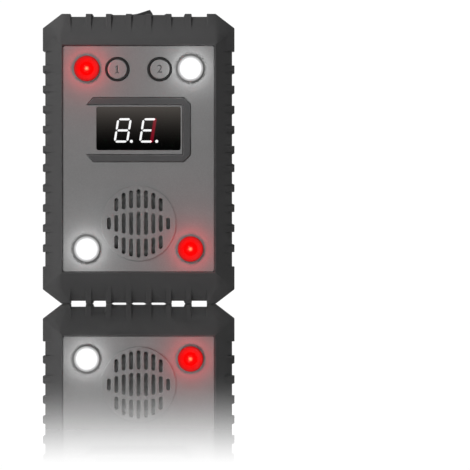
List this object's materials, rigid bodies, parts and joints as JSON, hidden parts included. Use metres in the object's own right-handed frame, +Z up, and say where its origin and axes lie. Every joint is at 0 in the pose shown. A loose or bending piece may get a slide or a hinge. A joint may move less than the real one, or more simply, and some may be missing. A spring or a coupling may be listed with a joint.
{
  "type": "ultrasonic pest repeller",
  "caption": "Battery ultrasonic pest repeller: ribbed dark case, grey panel with digit display, round buttons, signal lamps, speaker grille and a rocker switch on top.",
  "frame": {"origin": "middle of the underside, on the plane it stands on", "axes": "+X to the right seen from the front, +Y from the front to the back, +Z up"},
  "size_m": [0.078, 0.036, 0.12],
  "materials": {
    "case_grey": "fine-textured moulded dark grey",
    "panel_grey": "satin moulded mid grey",
    "trim_grey": "satin dark grey inlay",
    "smoked_window": "polished smoked acrylic",
    "digit_module": "black face with lit segments",
    "bezel_black": "black satin ring",
    "lamp_red": "red epoxy lens, lit",
    "lamp_white": "clear epoxy lens, lit white",
    "switch_black": "black nylon",
    "tact_black": "black moulded",
    "speaker_black": "black moulded cup",
    "speaker_cone": "stiff treated cone",
    "circuit_board": "green solder mask",
    "chip_black": "moulded epoxy",
    "coil_copper": "enamelled copper on ferrite",
    "capacitor_sleeve": "dark blue sleeve",
    "terminal_brass": "plain brass",
    "contact_steel": "nickel plated spring steel",
    "screw_steel": "zinc plated",
    "cell_sleeve": "dark printed sleeve",
    "wire_red": "red insulation",
    "wire_black": "black insulation"
  },
  "bodies": {
    "case": {"front_shell": "case_grey", "rear_cover": "case_grey", "front_panel": "panel_grey", "display_trim": "trim_grey", "display_window": "smoked_window", "digit_display": "digit_module", "led_bezel_top_left": "bezel_black", "led_bezel_top_right": "bezel_black", "led_bezel_bottom_left": "bezel_black", "led_bezel_bottom_right": "bezel_black", "button_ring_1": "bezel_black", "button_ring_2": "bezel_black", "led_top_left": "lamp_red", "led_bottom_right": "lamp_red", "led_top_right": "lamp_white", "led_bottom_left": "lamp_white", "rocker_switch_body": "switch_black", "tact_switch_1": "tact_black", "tact_switch_2": "tact_black", "speaker_cup": "speaker_black", "speaker_cone": "speaker_cone", "main_board": "circuit_board", "microcontroller": "chip_black", "driver_chip": "chip_black", "step_up_coil": "coil_copper", "electrolytic_capacitor": "capacitor_sleeve", "switch_terminal_1": "terminal_brass", "switch_terminal_2": "terminal_brass", "battery_spring_1": "contact_steel", "battery_spring_2": "contact_steel", "battery_spring_3": "contact_steel", "contact_bottom_bridge": "contact_steel", "contact_bottom_end": "contact_steel", "contact_top_bridge": "contact_steel", "contact_top_end": "contact_steel", "case_screw_1": "screw_steel", "case_screw_2": "screw_steel", "case_screw_3": "screw_steel", "case_screw_4": "screw_steel", "board_screw_1": "screw_steel", "board_screw_2": "screw_steel", "board_screw_3": "screw_steel", "board_screw_4": "screw_steel", "battery_cell_1": "cell_sleeve", "battery_cell_2": "cell_sleeve", "battery_cell_3": "cell_sleeve", "battery_wire_red": "wire_red", "switch_wire_1": "wire_red", "battery_wire_black": "wire_black", "switch_wire_2": "wire_black"},
    "rocker": {"rocker_button": "switch_black"},
    "button_1": {"button_cap_1": "panel_grey", "tact_plunger_1": "tact_black"},
    "button_2": {"button_cap_2": "panel_grey", "tact_plunger_2": "tact_black"},
    "door": {"battery_door": "case_grey"}
  },
  "joints": [
    {"name": "rocker_tilt", "type": "hinge", "parent": "case", "child": "rocker", "pos_m": [0, 0.007, 0.1158], "axis": [0, 1, 0], "range_deg": [0, 26]},
    {"name": "button_1_press", "type": "slide", "parent": "case", "child": "button_1", "axis": [0, 1, 0], "range_m": [0, 0.0005], "stiffness_N_per_m": 600},
    {"name": "button_2_press", "type": "slide", "parent": "case", "child": "button_2", "axis": [0, 1, 0], "range_m": [0, 0.0005], "stiffness_N_per_m": 600},
    {"name": "battery_door_swing", "type": "hinge", "parent": "case", "child": "door", "pos_m": [0, 0.018, 0.01815], "axis": [-1, 0, 0], "range_deg": [0, 70]}
  ]
}
